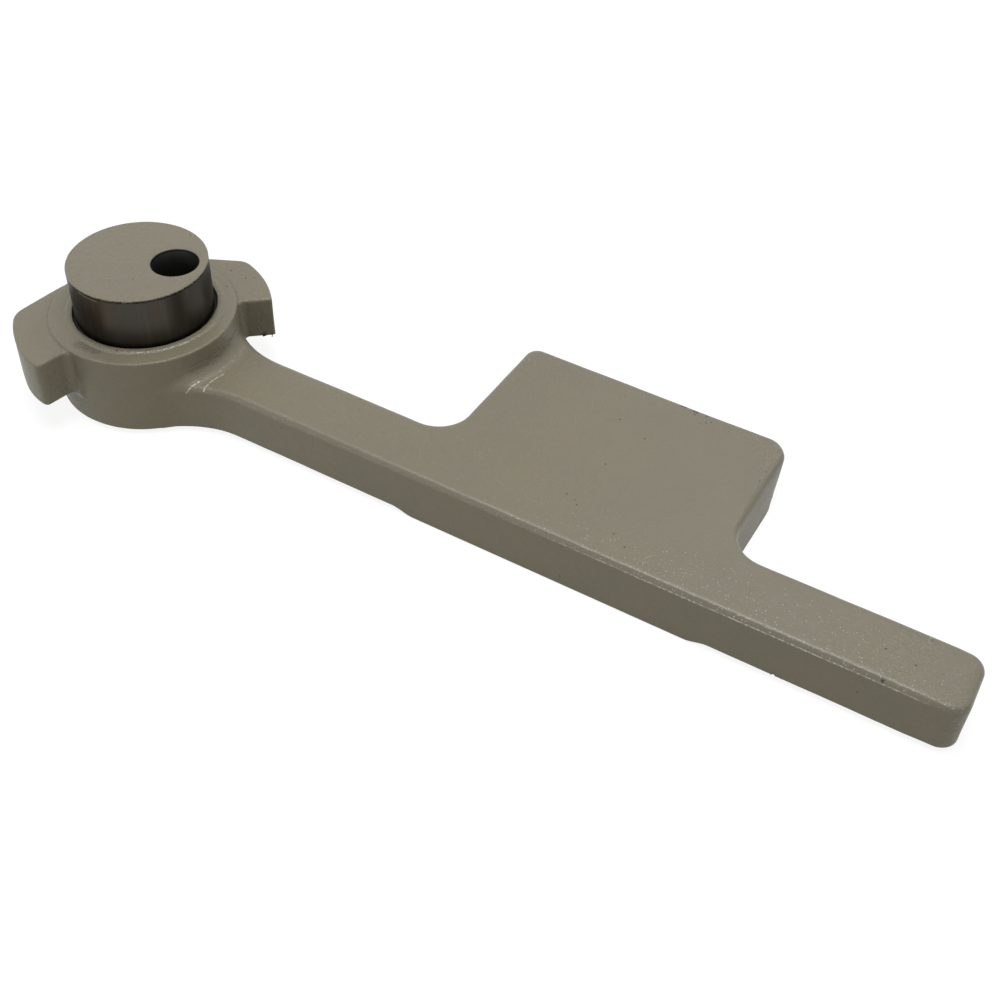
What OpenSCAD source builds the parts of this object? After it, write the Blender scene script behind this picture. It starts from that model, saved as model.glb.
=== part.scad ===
// Clamp handle: one iron casting with an eccentric clamping cam at one end.
// The frame's origin is on the axis of the pivot bore, at the underside of the hub.
// +X runs along the arm to the grip, +Y to the counterweight, +Z up past the cam.
// The modules draw round the hub's axis, and the last one moves the bore to the origin.

/* [Clamping cam] */
// Diameter of the machined cam
cam_d = 59.2; // [52:0.2:66]
// Height of the cam above the hub's rim
cam_h = 23.4; // [12:0.2:40]
// Small bevel at the cam's top edge
cam_bevel = 0.4; // [0.2:0.1:2]
// Distance from the cam's axis to the pivot bore's axis
throw = 16; // [12:0.2:17]
// Direction of the pivot bore, anticlockwise from the arm
throw_angle = 27.5; // [0:0.5:60]
// Diameter of the pivot bore
bore_d = 20; // [12:0.2:22]
// Bevel at the pivot bore's mouth in the cam
bore_bevel = 0.5; // [0.2:0.1:1.5]
// Distance that the machined cam lies behind the middle of the cast hub
cam_shift = 1.3; // [0:0.1:2]

/* [Hub] */
// Diameter of the round hub
hub_d = 80.4; // [76:0.2:96]
// Height of the hub, from its underside to its rim
hub_h = 35.5; // [28:0.5:60]
// Radius of the hub's top edge
hub_edge_r = 1.4; // [0.5:0.1:3]
// Radius of the hub's bottom edge
hub_foot_r = 0.8; // [0.4:0.1:2]
// Width of the relief groove round the cam's foot
groove_w = 1.1; // [0.6:0.1:2]
// Depth of the relief groove
groove_depth = 1.2; // [0.4:0.1:3]
// Width of the raised collar round the groove
collar_w = 2.6; // [1:0.1:4]
// Height of the collar above the hub's rim
collar_h = 0.5; // [0.2:0.1:1]

/* [Stop lugs] */
// Radius of the lugs' outer faces, from the hub's axis
lug_r = 55.2; // [50:0.2:70]
// Thickness of the lugs
lug_t = 20; // [10:0.5:28]
// Drop from the hub's rim to the lugs' tops
lug_drop = 0.8; // [0.4:0.1:4]
// Angle of the first lug's stop face, from the arm
lug_a_face = 40.2; // [36:0.1:60]
// Angle at which the first lug's back leaves the hub
lug_a_back = 117; // [105:0.5:130]
// Angle of the second lug's stop face, from the arm
lug_b_face = 260; // [250:0.5:275]
// Angle at which the second lug's back leaves the hub
lug_b_back = 173.5; // [160:0.5:185]
// Radius of the first lug's back corner
lug_a_corner_r = 8; // [3:0.5:14]
// Radius of the second lug's back corner
lug_b_corner_r = 12; // [3:0.5:14]
// Radius where a stop face meets the hub
lug_root_r = 6; // [1:0.5:8]
// Radius along the lugs' top edges
lug_edge_r = 1.6; // [0.4:0.1:2]

/* [Arm and grip] */
// Width of the arm
arm_w = 30.2; // [22:0.2:40]
// Thickness of the arm
arm_t = 21.4; // [14:0.2:24]
// Distance from the hub's axis to the end of the grip
reach = 371.8; // [340:0.2:460]
// Radius of the grip's end corners
end_r = 7.5; // [4:0.5:12]
// Radius along the top edges of the arm and the block
edge_r = 2.5; // [1:0.1:3.5]
// Radius of the curves that widen the arm into the hub
flare_r = 46; // [20:1:60]
// Radius between the hub's wall and the top of the arm
neck_r = 6.5; // [3:0.5:8]

/* [Counterweight block] */
// Distance from the hub's axis to the near side of the block
block_x = 147; // [130:0.5:160]
// Length of the block along the arm
block_len = 123; // [80:0.2:140]
// Distance from the arm's middle to the back of the block
block_back = 84; // [50:0.2:110]
// Radius of the block's back corner nearer the hub
block_near_r = 6; // [4:0.5:14]
// Radius of the block's back corner nearer the grip
block_far_r = 10; // [4:0.5:14]
// Radius between the block and the arm
block_root_r = 14.5; // [6:0.5:20]
// Extra depth of the block below the arm
pad_drop = 2; // [0.5:0.1:5]
// Length of the slopes from the arm's underside down to the block's
pad_slope = 8; // [3:0.5:12]

/* [Hidden] */
$fn = 96;

// How far a cutter or a hidden root reaches past the face that it starts from
eps = 0.5;
cam_r = cam_d / 2;
hub_r = hub_d / 2;
bore_r = bore_d / 2;

// Places seen from the hub's axis
cam_mid = [0, cam_shift];
bore_mid = cam_mid + polar(throw, throw_angle);

half_w = arm_w / 2;
block_end = block_x + block_len;
cam_z = hub_h + cam_h;
lug_z = hub_h - lug_drop;
groove_r = cam_r + groove_w;

// Curves and edges cross the faces that they join at a small angle, at these depths
run_out = 0.1;
edge_run_out = 0.02;

// Middle of the flare, a circle that touches the arm's side and runs out in the hub's wall
flare_y = half_w + flare_r;
flare_x = floor(10 * sqrt(pow(hub_r - run_out + flare_r, 2) - pow(flare_y, 2))) / 10;
flare_turn = atan2(flare_x, flare_y);

// Distance of a lug's back face from the hub's axis, a little inside the hub's wall
lug_sink = 0.2;
back_x = hub_r - lug_sink;

// Place on a stop face where its curve to the hub's wall begins
root_reach = floor(10 * sqrt(pow(back_x + lug_root_r, 2) - pow(lug_root_r, 2))) / 10;
root_turn = atan2(lug_root_r, root_reach);

// Clear width between a flare's rounded edge and the neck's side
neck_gap = 0.2;

PAINT = "#8a8273";

function polar(r, a) = [r * cos(a), r * sin(a)];

// Waste outside a rounded edge: a square with a quarter circle taken from it.
// x runs into the material from its side face, and y down from its top face is negative.
module edge_waste(r) {
    inset = r - edge_run_out;
    difference() {
        translate([-eps, -r]) square([r + eps, r + eps]);
        translate([inset, -inset]) circle(r);
    }
}

// Cutter that rounds a straight top edge from p to q, with the material on its left
module round_line(p, q, z, r) {
    run = q - p;
    translate([p[0], p[1], z])
        rotate([0, 0, atan2(run[1], run[0])])
            rotate([90, 0, 90])
                linear_extrude(norm(run)) edge_waste(r);
}

// Cutter that rounds the top edge of an outward corner; a negative turn runs clockwise
module round_corner(middle, corner_r, start, turn, z, r) {
    translate([middle[0], middle[1], z])
        rotate([0, 0, start])
            mirror([0, turn < 0 ? 1 : 0, 0])
                rotate_extrude(angle = abs(turn))
                    translate([corner_r, 0]) mirror([1, 0]) edge_waste(r);
}

// Cutter that rounds the top edge of an inward curve
module round_hollow(middle, hollow_r, start, turn, z, r) {
    translate([middle[0], middle[1], z])
        rotate([0, 0, start])
            rotate_extrude(angle = turn)
                translate([hollow_r, 0]) edge_waste(r);
}

// Square corner of an outline, at the origin, with its quarter circle taken away
module quarter(r) {
    difference() {
        translate([-eps, -eps]) square(r + eps);
        translate([r, r]) circle(r);
    }
}

// Round hub, with its top and bottom edges rounded
module hub() {
    rotate_extrude()
        difference() {
            square([hub_r, hub_h]);
            translate([hub_r, hub_h]) mirror([1, 0]) edge_waste(hub_edge_r);
            translate([hub_r, 0]) mirror([1, 0]) mirror([0, 1]) edge_waste(hub_foot_r);
        }
}

// Groove that leaves room for the tool at the cam's foot
module relief_groove() {
    translate(cam_mid)
        rotate_extrude()
            translate([cam_r, hub_h - groove_depth]) square([groove_w, groove_depth + 2]);
}

// Low collar round the groove, with a sloping outside
module collar() {
    translate(cam_mid)
        rotate_extrude()
            translate([groove_r, hub_h - eps])
                polygon([[0, 0], [collar_w, 0], [collar_w, eps],
                    [collar_w - collar_h, eps + collar_h], [0, eps + collar_h]]);
}

// Turned cam, with a small bevel at its top
module cam() {
    translate(cam_mid)
        rotate_extrude()
            polygon([[0, hub_h - groove_depth - eps], [cam_r, hub_h - groove_depth - eps],
                [cam_r, cam_z - cam_bevel], [cam_r - cam_bevel, cam_z], [0, cam_z]]);
}

// Middle of a lug's rounded back corner, with the back face along a line of equal X.
// The corner's circle runs out in the lug's round face.
function corner_mid(r) =
    [back_x - r, -ceil(10 * sqrt(pow(lug_r - r, 2) - pow(back_x - r, 2)) + 0.5) / 10];

// Outline of the side of a lug at its stop face, which lies on the X axis
module stop_side() {
    difference() {
        polygon([[0, 0], [root_reach, -lug_root_r], [root_reach, 0], [2 * lug_r, 0],
            [2 * lug_r, 2 * lug_r], [-2 * lug_r, 2 * lug_r]]);
        translate([root_reach, -lug_root_r]) circle(lug_root_r);
    }
}

// Outline of the back side of a lug, with the rounded corner where its back face ends
module back_side(corner_r) {
    middle = corner_mid(corner_r);
    sharp = [back_x, -sqrt(pow(lug_r, 2) - pow(back_x, 2))];
    difference() {
        polygon([[0, 0], [back_x, 0], [back_x, -2 * lug_r], [-2 * lug_r, -2 * lug_r]]);
        difference() {
            polygon([middle, [back_x + eps, middle[1]], 1.05 * sharp,
                1.05 * lug_r / norm(middle) * middle]);
            translate(middle) circle(corner_r);
        }
    }
}

// A lug with its top edges rounded, its stop face on the X axis and its back at sweep
module lug(sweep, corner_r) {
    middle = corner_mid(corner_r);
    turn = atan2(-middle[1], middle[0]);
    past = 5;
    difference() {
        translate([0, 0, lug_z - lug_t])
            linear_extrude(lug_t)
                intersection() {
                    circle(lug_r);
                    stop_side();
                    rotate(sweep) back_side(corner_r);
                }
        round_line([root_reach, 0], [lug_r + 1, 0], lug_z, lug_edge_r);
        round_hollow([root_reach, -lug_root_r], lug_root_r, 90, 90 - root_turn + past,
            lug_z, lug_edge_r);
        round_corner([0, 0], lug_r, -past, sweep - turn + 2 * past, lug_z, lug_edge_r);
        rotate(sweep) {
            round_corner(middle, corner_r, 0, -turn, lug_z, lug_edge_r);
            round_line([back_x, middle[1]], [back_x, 1], lug_z, lug_edge_r);
        }
    }
}

// Outline of the arm, the block and the grip, with the flares at the hub
module arm_outline() {
    near_x = block_x - block_root_r;
    far_x = block_end + block_root_r;
    root_y = half_w + block_root_r;
    difference() {
        polygon([[0, 0], [flare_x, -flare_y], [flare_x, -half_w], [reach, -half_w],
            [reach, half_w], [far_x, half_w], [far_x, root_y], [block_end, root_y],
            [block_end, block_back], [block_x, block_back], [block_x, root_y],
            [near_x, root_y], [near_x, half_w], [flare_x, half_w], [flare_x, flare_y]]);
        for (way = [-1, 1])
            translate([flare_x, way * flare_y]) circle(flare_r);
        translate([near_x, root_y]) circle(block_root_r);
        translate([far_x, root_y]) circle(block_root_r);
        translate([reach, -half_w]) rotate(90) quarter(end_r);
        translate([reach, half_w]) rotate(180) quarter(end_r);
        translate([block_x, block_back]) rotate(270) quarter(block_near_r);
        translate([block_end, block_back]) rotate(180) quarter(block_far_r);
    }
}

// Side view of the arm: a flat top, and an underside that is deeper below the block
module arm_profile() {
    polygon([[0, 0], [block_x - pad_slope, 0], [block_x, -pad_drop], [block_end, -pad_drop],
        [block_end + pad_slope, 0], [reach + 1, 0], [reach + 1, arm_t + 1], [0, arm_t + 1]]);
}

// Cutters that round the arm's top edges, in order round its outline
module arm_edges() {
    near_x = block_x - block_root_r;
    far_x = block_end + block_root_r;
    root_y = half_w + block_root_r;
    end_x = reach - end_r;
    end_y = half_w - end_r;
    for (side = [0, 1])
        mirror([0, side, 0])
            round_hollow([flare_x, -flare_y], flare_r, 90, flare_turn + 3, arm_t, edge_r);
    round_line([flare_x, -half_w], [end_x, -half_w], arm_t, edge_r);
    round_corner([end_x, -end_y], end_r, -90, 90, arm_t, edge_r);
    round_line([reach, -end_y], [reach, end_y], arm_t, edge_r);
    round_corner([end_x, end_y], end_r, 0, 90, arm_t, edge_r);
    round_line([end_x, half_w], [far_x, half_w], arm_t, edge_r);
    round_hollow([far_x, root_y], block_root_r, 180, 90, arm_t, edge_r);
    round_line([block_end, root_y], [block_end, block_back - block_far_r], arm_t, edge_r);
    round_corner([block_end - block_far_r, block_back - block_far_r], block_far_r, 0, 90,
        arm_t, edge_r);
    round_line([block_end - block_far_r, block_back], [block_x + block_near_r, block_back],
        arm_t, edge_r);
    round_corner([block_x + block_near_r, block_back - block_near_r], block_near_r, 90, 90,
        arm_t, edge_r);
    round_line([block_x, block_back - block_near_r], [block_x, root_y], arm_t, edge_r);
    round_hollow([near_x, root_y], block_root_r, 270, 90, arm_t, edge_r);
    round_line([near_x, half_w], [flare_x, half_w], arm_t, edge_r);
}

// Arm, block and grip as one bar with rounded top edges
module arm() {
    difference() {
        intersection() {
            translate([0, 0, -pad_drop - 1]) linear_extrude(arm_t + pad_drop + 1) arm_outline();
            translate([0, block_back + 1, 0]) rotate([90, 0, 0])
                linear_extrude(block_back + half_w + flare_y) arm_profile();
        }
        arm_edges();
    }
}

// Waste beside the neck: it keeps clear of a flare's rounded edge and leans back above it
module neck_waste() {
    top = neck_r + eps;
    side = edge_r + neck_gap;
    rotate_extrude()
        translate([flare_r, arm_t])
            polygon([[-eps, -2 * eps], [side, -2 * eps], [side, 0], [side + top, top],
                [-eps, top]]);
}

// Curve between the hub's wall and the top of the arm
module neck() {
    difference() {
        intersection() {
            rotate_extrude()
                translate([hub_r - eps, arm_t - eps]) difference() {
                    square(neck_r + eps);
                    translate([neck_r + eps - edge_run_out, neck_r + eps - edge_run_out])
                        circle(neck_r);
                }
            linear_extrude(hub_h) arm_outline();
        }
        for (way = [-1, 1])
            translate([flare_x, way * flare_y, 0]) neck_waste();
    }
}

// The pivot bore, with a bevel at its mouth in the cam
module pivot_bore() {
    translate(bore_mid) {
        translate([0, 0, -eps]) cylinder(h = cam_z + 2 * eps, r = bore_r);
        translate([0, 0, cam_z - bore_bevel])
            cylinder(h = 2 * bore_bevel, r1 = bore_r, r2 = bore_r + 2 * bore_bevel);
    }
}

// The whole handle, one casting, with the pivot bore on the origin
module clamp_handle() {
    color(PAINT)
    translate(-bore_mid)
    difference() {
        union() {
            difference() {
                union() {
                    hub();
                    rotate(lug_a_face) lug(lug_a_back - lug_a_face, lug_a_corner_r);
                    rotate(lug_b_face) mirror([0, 1, 0])
                        lug(lug_b_face - lug_b_back, lug_b_corner_r);
                    arm();
                    neck();
                    collar();
                }
                relief_groove();
            }
            cam();
        }
        pivot_bore();
    }
}

clamp_handle();
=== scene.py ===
# %% [markdown]
# # Clamp handle
# A lever handle cast in iron and painted grey-beige. At one end stands a round cam,
# turned on a lathe off the centre of the hole it swings on. This notebook builds the
# handle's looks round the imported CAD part: first the shapes, then the finishes, then
# the light and the camera.

# %% Load the frame
import math
import bpy
import numpy as np
from mathutils import Matrix, Vector


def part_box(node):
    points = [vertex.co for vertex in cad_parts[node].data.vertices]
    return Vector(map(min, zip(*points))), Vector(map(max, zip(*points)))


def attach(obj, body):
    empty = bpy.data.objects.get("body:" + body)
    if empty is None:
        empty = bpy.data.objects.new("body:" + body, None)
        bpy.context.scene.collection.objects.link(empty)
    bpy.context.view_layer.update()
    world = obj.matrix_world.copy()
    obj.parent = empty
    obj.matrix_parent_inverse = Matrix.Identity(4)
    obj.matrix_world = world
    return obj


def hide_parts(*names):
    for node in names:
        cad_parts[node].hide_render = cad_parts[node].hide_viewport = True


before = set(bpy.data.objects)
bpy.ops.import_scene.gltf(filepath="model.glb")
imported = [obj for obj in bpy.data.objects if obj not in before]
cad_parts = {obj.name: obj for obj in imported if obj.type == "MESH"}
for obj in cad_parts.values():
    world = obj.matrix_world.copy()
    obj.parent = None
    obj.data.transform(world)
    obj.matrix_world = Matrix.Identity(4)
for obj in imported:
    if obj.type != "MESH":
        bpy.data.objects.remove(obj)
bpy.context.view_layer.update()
low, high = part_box("clamp_handle")
print("CAD box, mm:", [round(1000 * v, 2) for v in low], [round(1000 * v, 2) for v in high])

# %% [markdown]
# The shapes are worked out in millimetres from the axis of the hub, which is where a
# draughtsman would start. The CAD part has its origin on the pivot bore instead, so the
# finished points move by the distance between the two axes.

# %% Main sizes, in millimetres
CAM_MIDDLE = np.array([0.0, 1.3])
THROW, THROW_TURN = 16.0, math.radians(27.5)    # from the cam's axis to the bore's
BORE_MIDDLE = CAM_MIDDLE + THROW * np.array([math.cos(THROW_TURN), math.sin(THROW_TURN)])
BORE_R, CAM_R, CAM_TOP = 10.0, 29.6, 58.9
HUB_R, HUB_H = 40.2, 35.5
LUG_R, LUG_TOP, LUG_FOOT = 55.2, 34.7, 14.7
HALF_W, ARM_T, REACH = 15.1, 21.4, 371.75       # the arm's half width, height and far end
BLOCK_NEAR, BLOCK_FAR, BLOCK_BACK = 147.0, 270.0, 84.0
ROOT_R, FLARE_R = 14.5, 46.0                    # inner corners by the block and the hub
FLARE_X, FLARE_Y = 60.7, 61.1
NECK_R, PAD_DROP = 6.5, 2.0                     # curve at the neck, step under the block
print("pivot bore from the hub's axis:", BORE_MIDDLE.round(3))

# %% [markdown]
# ## The casting
# A sand casting has no sharp edges: the pattern is rounded, the metal shrinks and the
# paint fills every corner. Box modelling with bevels could make the rounds, but not the
# soft places where three forms run together. A distance field can. It is a function
# that tells how far a point lies from the surface, and two bodies melt into each other
# when their distances are joined with a soft minimum.
#
# The first thing needed is the outline seen from above, a chain of lines and arcs.
# The arm starts wide at the hub, carries the block on one side and ends in the grip.

# %% Outline of the arm from above
def arc(middle, radius, start, end, apart=6.0):
    """Points along an arc; angles in degrees, running either way."""
    count = max(2, int(abs(end - start) / apart) + 1)
    turn = np.radians(np.linspace(start, end, count))
    return [(middle[0] + radius * math.cos(t), middle[1] + radius * math.sin(t)) for t in turn]

def arm_outline():
    """The arm, the block and the grip, anticlockwise from the middle of the hub."""
    flare_turn = math.degrees(math.atan2(FLARE_X, FLARE_Y))
    end_r, near_r, far_r = 7.5, 6.0, 10.0
    root_y = HALF_W + ROOT_R
    points = [(0.0, 0.0)]
    points += arc((FLARE_X, -FLARE_Y), FLARE_R, 90 + flare_turn, 90, 4)
    points += arc((REACH - end_r, -HALF_W + end_r), end_r, -90, 0)
    points += arc((REACH - end_r, HALF_W - end_r), end_r, 0, 90)
    points += arc((BLOCK_FAR + ROOT_R, root_y), ROOT_R, -90, -180)
    points += arc((BLOCK_FAR - far_r, BLOCK_BACK - far_r), far_r, 0, 90)
    points += arc((BLOCK_NEAR + near_r, BLOCK_BACK - near_r), near_r, 90, 180)
    points += arc((BLOCK_NEAR - ROOT_R, root_y), ROOT_R, 0, -90)
    points += arc((FLARE_X, FLARE_Y), FLARE_R, -90, -90 - flare_turn, 4)
    return np.array(points)

ARM = arm_outline()
print("corners of the arm's outline:", len(ARM))

# %% [markdown]
# The two stop lugs stand out from the hub's wall. Each has a flat radial face that
# meets the stop, a round outer side and a back that runs off along the hub. They are
# drawn with the face on the X axis and then turned into place, the second one mirrored.

# %% Outlines of the two stop lugs
LUG_ROOT_R = 3.6

def turned_by(x, y, angle, way=1):
    """A point turned about the hub's axis; way -1 mirrors it first."""
    c, s = math.cos(angle), math.sin(angle)
    return (x * c - way * y * s, x * s + way * y * c)

def lug_outline(face, back, corner_r, far_r, back_x, face_r, bulge):
    """A stop lug from its face to its back; the outer radius ends at far_r.
    A bulge makes the first half of the outer side fuller."""
    way = 1 if back > face else -1
    sweep = abs(back - face)
    reach = math.sqrt((HUB_R + LUG_ROOT_R) ** 2 - LUG_ROOT_R ** 2)
    root = math.degrees(math.atan2(LUG_ROOT_R, reach))
    points = [(0.0, 0.0)]
    points += arc((reach, -LUG_ROOT_R), LUG_ROOT_R, 180 - root, 90)
    points += arc((LUG_R - face_r, face_r), face_r, -90, -5, 20)
    down = math.sqrt((far_r - corner_r) ** 2 - (back_x - corner_r) ** 2)
    turn = math.degrees(math.atan2(down, back_x - corner_r))
    for t in np.linspace(1 + face_r, sweep - turn, 18):
        share = t / (sweep - turn)
        r = LUG_R + (far_r - LUG_R) * share + bulge * max(0, math.sin(math.pi * share / .55))
        points.append((r * math.cos(math.radians(t)), r * math.sin(math.radians(t))))
    for x, y in arc((back_x - corner_r, -down), corner_r, -turn, 0) + [(back_x, 0.0)]:
        points.append(turned_by(x, y, math.radians(sweep)))
    return np.array([turned_by(x, y, math.radians(face), way) for x, y in points])

LUG_A = lug_outline(40.2, 117.0, 8.0, 55.0, 41.0, 1.0, 0.0)
LUG_B = lug_outline(260.0, 173.5, 11.0, 54.9, 40.6, 2.2, .5)
print("corners of the lugs' outlines:", len(LUG_A), len(LUG_B))

# %% [markdown]
# The distance to such an outline is the distance to its nearest side, counted as
# negative inside. Points are taken in batches so that the tables stay small.

# %% Distance to an outline
BATCH = 60000

def outline_distance(outline, x, y):
    """Signed distance from each point to a closed outline, negative inside."""
    a, b = outline, np.roll(outline, -1, axis=0)
    side = b - a
    keep = (side ** 2).sum(axis=1) > 1e-12
    a, b, side = a[keep], b[keep], side[keep]
    result = np.empty(x.shape)
    for first in range(0, x.size, BATCH):
        part = slice(first, first + BATCH)
        px, py = x[part, None] - a[:, 0], y[part, None] - a[:, 1]
        along = np.clip((px * side[:, 0] + py * side[:, 1]) / (side ** 2).sum(axis=1), 0, 1)
        gap = (px - along * side[:, 0]) ** 2 + (py - along * side[:, 1]) ** 2
        above = a[:, 1] <= y[part, None]
        crosses = above != (b[:, 1] <= y[part, None])
        left = (px * side[:, 1] - py * side[:, 0]) < 0
        inside = (crosses & (left == above)).sum(axis=1) % 2 == 1
        result[part] = np.sqrt(gap.min(axis=1)) * np.where(inside, -1, 1)
    return result

beside = outline_distance(ARM, np.array([BLOCK_FAR + 5]), np.array([50.0]))
print("measured 5 mm beside the block:", beside.round(3))

# %% [markdown]
# Four small helpers join distances. `rounded` is the corner of two faces with a true
# radius, `soft_max` and `soft_min` blend by about a given width, and `step` fades from
# 0 to 1 between two places.

# %% Joining distances
def rounded(a, b, r):
    return np.minimum(np.maximum(a, b), -r) + np.hypot(np.maximum(a + r, 0), np.maximum(b + r, 0))

def soft_max(a, b, k):
    h = np.maximum(k - np.abs(a - b), 0) / k
    return np.maximum(a, b) + h * h * k / 4

def soft_min(a, b, k):
    return -soft_max(-a, -b, k)

def step(low_end, high_end, v):
    t = np.clip((v - low_end) / (high_end - low_end), 0, 1)
    return t * t * (3 - 2 * t)

print("two faces 1 mm inside an edge of 2 mm radius:", rounded(-1.0, -1.0, 2.0).round(3))

# %% [markdown]
# The surface of a casting is never quite flat. A sum of long, shallow waves in odd
# directions gives the slow unevenness that shows in soft reflections.

# %% Waves of the cast skin
WAVE_SIZES = ((62, .05), (47, .045), (33, .035), (24, .03), (17, .022), (11, .012), (8, .009))
random = np.random.default_rng(7)
WAVES = []
for length, height in WAVE_SIZES:
    way = random.normal(size=3)
    way = 2 * math.pi / length * way / np.linalg.norm(way)
    WAVES.append((way, random.uniform(0, 6.28), height))

def waves(x, y, z):
    total = 0
    for way, phase, height in WAVES:
        total = total + height * np.sin(way[0] * x + way[1] * y + way[2] * z + phase)
    return total

print("waves at most", round(sum(height for _, _, height in WAVES), 3), "mm high")

# %% [markdown]
# The arm, its block and the grip are one flat body with rounded top edges. The front
# top edge isn't one round but a narrow flat between two ridges, where the pattern was
# chamfered. The block's far side flares a little towards its foot and leans in at its
# corner, and a shallow pad makes the block deeper than the arm.

# %% The arm with its block
FLAT = 1.9      # how far the flat on the front edge cuts into the side and the top

def arm_body(x, y, z, arm):
    """Distances to the arm with its block, and to its upright side alone.
    Each step fades a form in between two places along the arm (x) or across it (y)."""
    height, top = z / ARM_T, z - ARM_T
    lean = 1.1 * step(66, 76, y) - .5 * step(28, 40, y) * step(72, 62, y)
    lean = lean * (1 - height) * step(250, 268, x)
    front = step(-4, -10, y) * step(48, 62, x) * step(364, 352, x)
    side = arm + lean - .32 * (1 - height) * front
    edge = 2.5 + .6 * step(262, 268, x) * step(24, 40, y) + .7 * step(358, 366, x)
    plain = rounded(side, top, edge)
    chamfer = soft_max(soft_max(side, top, .3), (side + top + FLAT) / math.sqrt(2), .4)
    body = plain + (chamfer - plain) * front
    foot = -PAD_DROP * step(138, 148, x) * step(279, 269, x)
    return rounded(body, foot - z, .5), side

# %% [markdown]
# The hub is a short drum. Where the arm meets it, the pattern maker cut a hollow curve
# from the hub's wall down to the arm's top, the neck. The neck only exists near the
# arm's height, so its distance is cut off above and below.

# %% The hub and the neck
def hub_and_neck(x, y, z, side):
    """Distances to the drum of the hub and to the neck."""
    wall, top = np.hypot(x, y) - HUB_R, z - ARM_T
    hub = rounded(rounded(wall, z - HUB_H, 1.0), -z, .5)
    curve = NECK_R - np.hypot(np.maximum(NECK_R - wall, 0), np.maximum(NECK_R - top, 0))
    neck = soft_max(curve, side + .6 + .35 * np.maximum(top, 0), 3)
    return hub, np.maximum(neck, np.abs(top - 1.5) - 5)

# %% [markdown]
# The casting's field puts the pieces together: the hub, the arm, the neck and the two
# lugs, whose undersides stand at slightly different heights. Then come the waves and
# the small nubs of sand and paint on a few edges. A pocket inside leaves room for the
# turned cam, which is made separately, and for the bore.

# %% Distance to the casting
NUBS = [(350.4, 12.0, 21.2, .9), (305.0, -15.3, .3, .8), (307.6, -15.2, .2, .7),
        (42.4, 32.6, 15.2, .9), (38.5, 32.2, 15.2, .8), (40.8, 35.4, 15.2, .9)]
POCKET_R, POCKET_FLOOR, HOLE_R = 32.0, 30.0, 11.0

def casting(x, y, z, arm, lug_a, lug_b):
    """The casting's field, from the distances to the three outlines."""
    body, side = arm_body(x, y, z, arm)
    hub, neck = hub_and_neck(x, y, z, side)
    lugs = 1e3
    for lug, lug_foot, foot_r in ((lug_a, LUG_FOOT, .7), (lug_b, LUG_FOOT - 1.8, 1.3)):
        lugs = np.minimum(lugs, rounded(rounded(lug, z - LUG_TOP, 1.4), lug_foot - z, foot_r))
    d = soft_min(soft_min(hub, body, .8), neck, .8)
    d = soft_min(d, lugs, .5 + 3 * step(22, 15, z))
    d = d + (waves(x, y, z) + .1) * step(-2.5, 2, z)
    for nx, ny, nz, r in NUBS:
        d = soft_min(d, np.sqrt((x - nx) ** 2 + (y - ny) ** 2 + (z - nz) ** 2) - r, .5)
    off_cam = np.hypot(x - CAM_MIDDLE[0], y - CAM_MIDDLE[1])
    off_bore = np.hypot(x - BORE_MIDDLE[0], y - BORE_MIDDLE[1])
    pocket = np.maximum(off_cam - POCKET_R, POCKET_FLOOR - z)
    return np.maximum(d, -np.minimum(pocket, off_bore - HOLE_R))

def distance(points):
    """The casting's distance at a table of points."""
    x, y, z = points.T
    flat = [outline_distance(o, x, y) for o in (ARM, LUG_A, LUG_B)]
    return casting(x, y, z, *flat)

print("field at the arm's middle:", distance(np.array([[200.0, 0.0, 10.0]])).round(2))

# %% [markdown]
# The field becomes a mesh in two steps. A coarse net comes first. The field is worked
# out at the corners of a grid, and each grid line that joins an inside corner to an
# outside one is crossed by the surface somewhere between them.

# %% Where the surface crosses a grid
def grid_values(low_corner, high_corner, cell):
    """The grid's three axes and the field at its corners."""
    axes = [np.arange(low_corner[i], high_corner[i] + cell, cell) for i in range(3)]
    gx, gy = np.meshgrid(axes[0], axes[1], indexing="ij")
    flat = [outline_distance(o, gx.ravel(), gy.ravel()).reshape(gx.shape)[:, :, None]
            for o in (ARM, LUG_A, LUG_B)]
    return axes, casting(gx[:, :, None], gy[:, :, None], axes[2][None, None, :], *flat)

def crossed_lines(axis, axes, value, cell):
    """Grid lines along one axis that cross the surface, where, and which start inside."""
    lo, hi = [slice(None)] * 3, [slice(None)] * 3
    lo[axis], hi[axis] = slice(0, -1), slice(1, None)
    va, vb = value[tuple(lo)], value[tuple(hi)]
    i, j, k = np.nonzero((va < 0) != (vb < 0))
    va, vb = va[i, j, k], vb[i, j, k]
    p = np.stack([axes[0][i], axes[1][j], axes[2][k]], axis=1)
    p[:, axis] += va / (va - vb) * cell
    return (i, j, k), p, va < 0

# %% [markdown]
# Each grid cell that has such crossings gets one point, at their average. Each crossed
# line then joins the points of the four cells round it with two triangles, wound so
# that they face outwards. This gives small triangles of nearly one size.

# %% Coarse net over the surface
def shifted(line, moves):
    """The cells next to some grid lines, found by moving along two axes."""
    cell = [n.copy() for n in line]
    for axis, move in moves:
        cell[axis] += move
    return cell

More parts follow.
